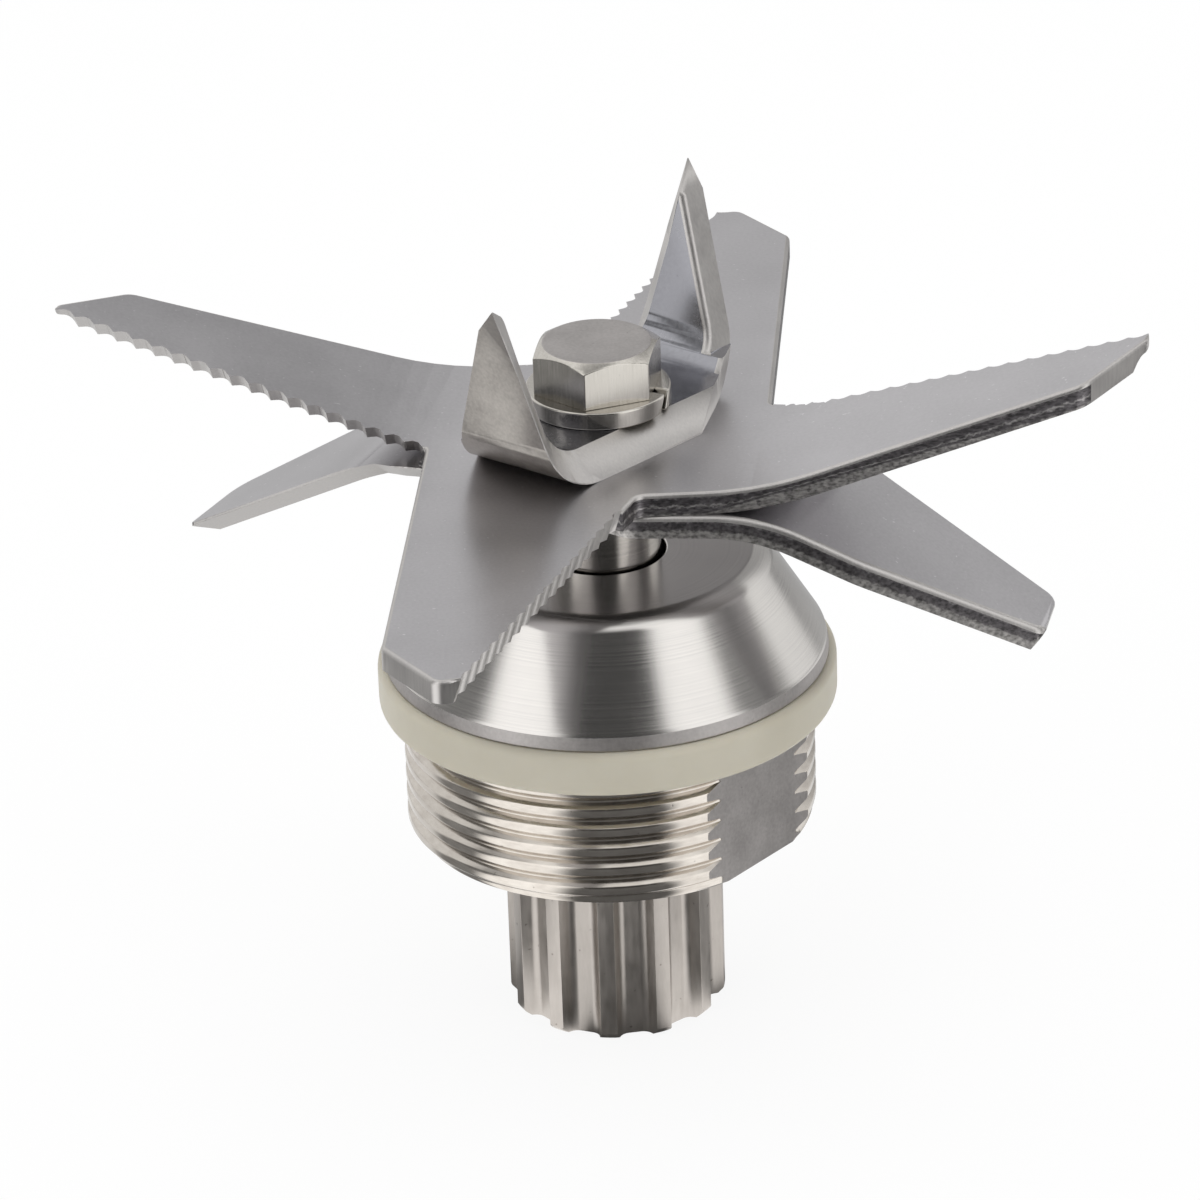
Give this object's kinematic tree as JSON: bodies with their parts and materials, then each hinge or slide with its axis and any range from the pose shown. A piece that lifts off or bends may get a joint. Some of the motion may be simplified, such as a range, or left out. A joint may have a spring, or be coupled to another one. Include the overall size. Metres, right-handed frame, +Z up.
{
  "type": "blender blade assembly",
  "caption": "Blender blade assembly: serrated, bent-down and upright steel blades bolted on a splined shaft in a threaded housing with a jar gasket.",
  "frame": {"origin": "centre of the drive spline's lower face, on the shaft's axis", "axes": "+Z up along the shaft's axis towards the hex bolt, -Y towards the front flat arm of the main blade"},
  "size_m": [0.0926, 0.0936, 0.0732],
  "materials": {
    "turned_steel": "turned stainless, satin",
    "ground_steel": "ground bar",
    "rolled_steel": "cold-rolled stainless sheet, matt, sheared edges",
    "ground_blade_steel": "cold-rolled stainless sheet, ground bevels",
    "fastener_steel": "plain stainless, slightly warm",
    "sintered_steel": "sintered, grainy",
    "bronze": "sintered bronze, oiled",
    "silicone": "moulded silicone, ivory, matt",
    "seal_rubber": "moulded nitrile, black"
  },
  "bodies": {
    "housing": {"housing": "turned_steel", "jar_gasket": "silicone", "shaft_seal": "seal_rubber", "lower_bushing": "bronze", "upper_bushing": "bronze"},
    "rotor": {"shaft": "ground_steel", "drive_spline": "sintered_steel", "lower_blade": "rolled_steel", "main_blade": "rolled_steel", "upper_blade": "ground_blade_steel", "lock_washer": "fastener_steel", "hex_bolt": "fastener_steel"}
  },
  "joints": [
    {"name": "rotor_spin", "type": "hinge", "parent": "housing", "child": "rotor", "pos_m": [0, 0, 0.03], "axis": [0, 0, 1], "continuous": true}
  ]
}
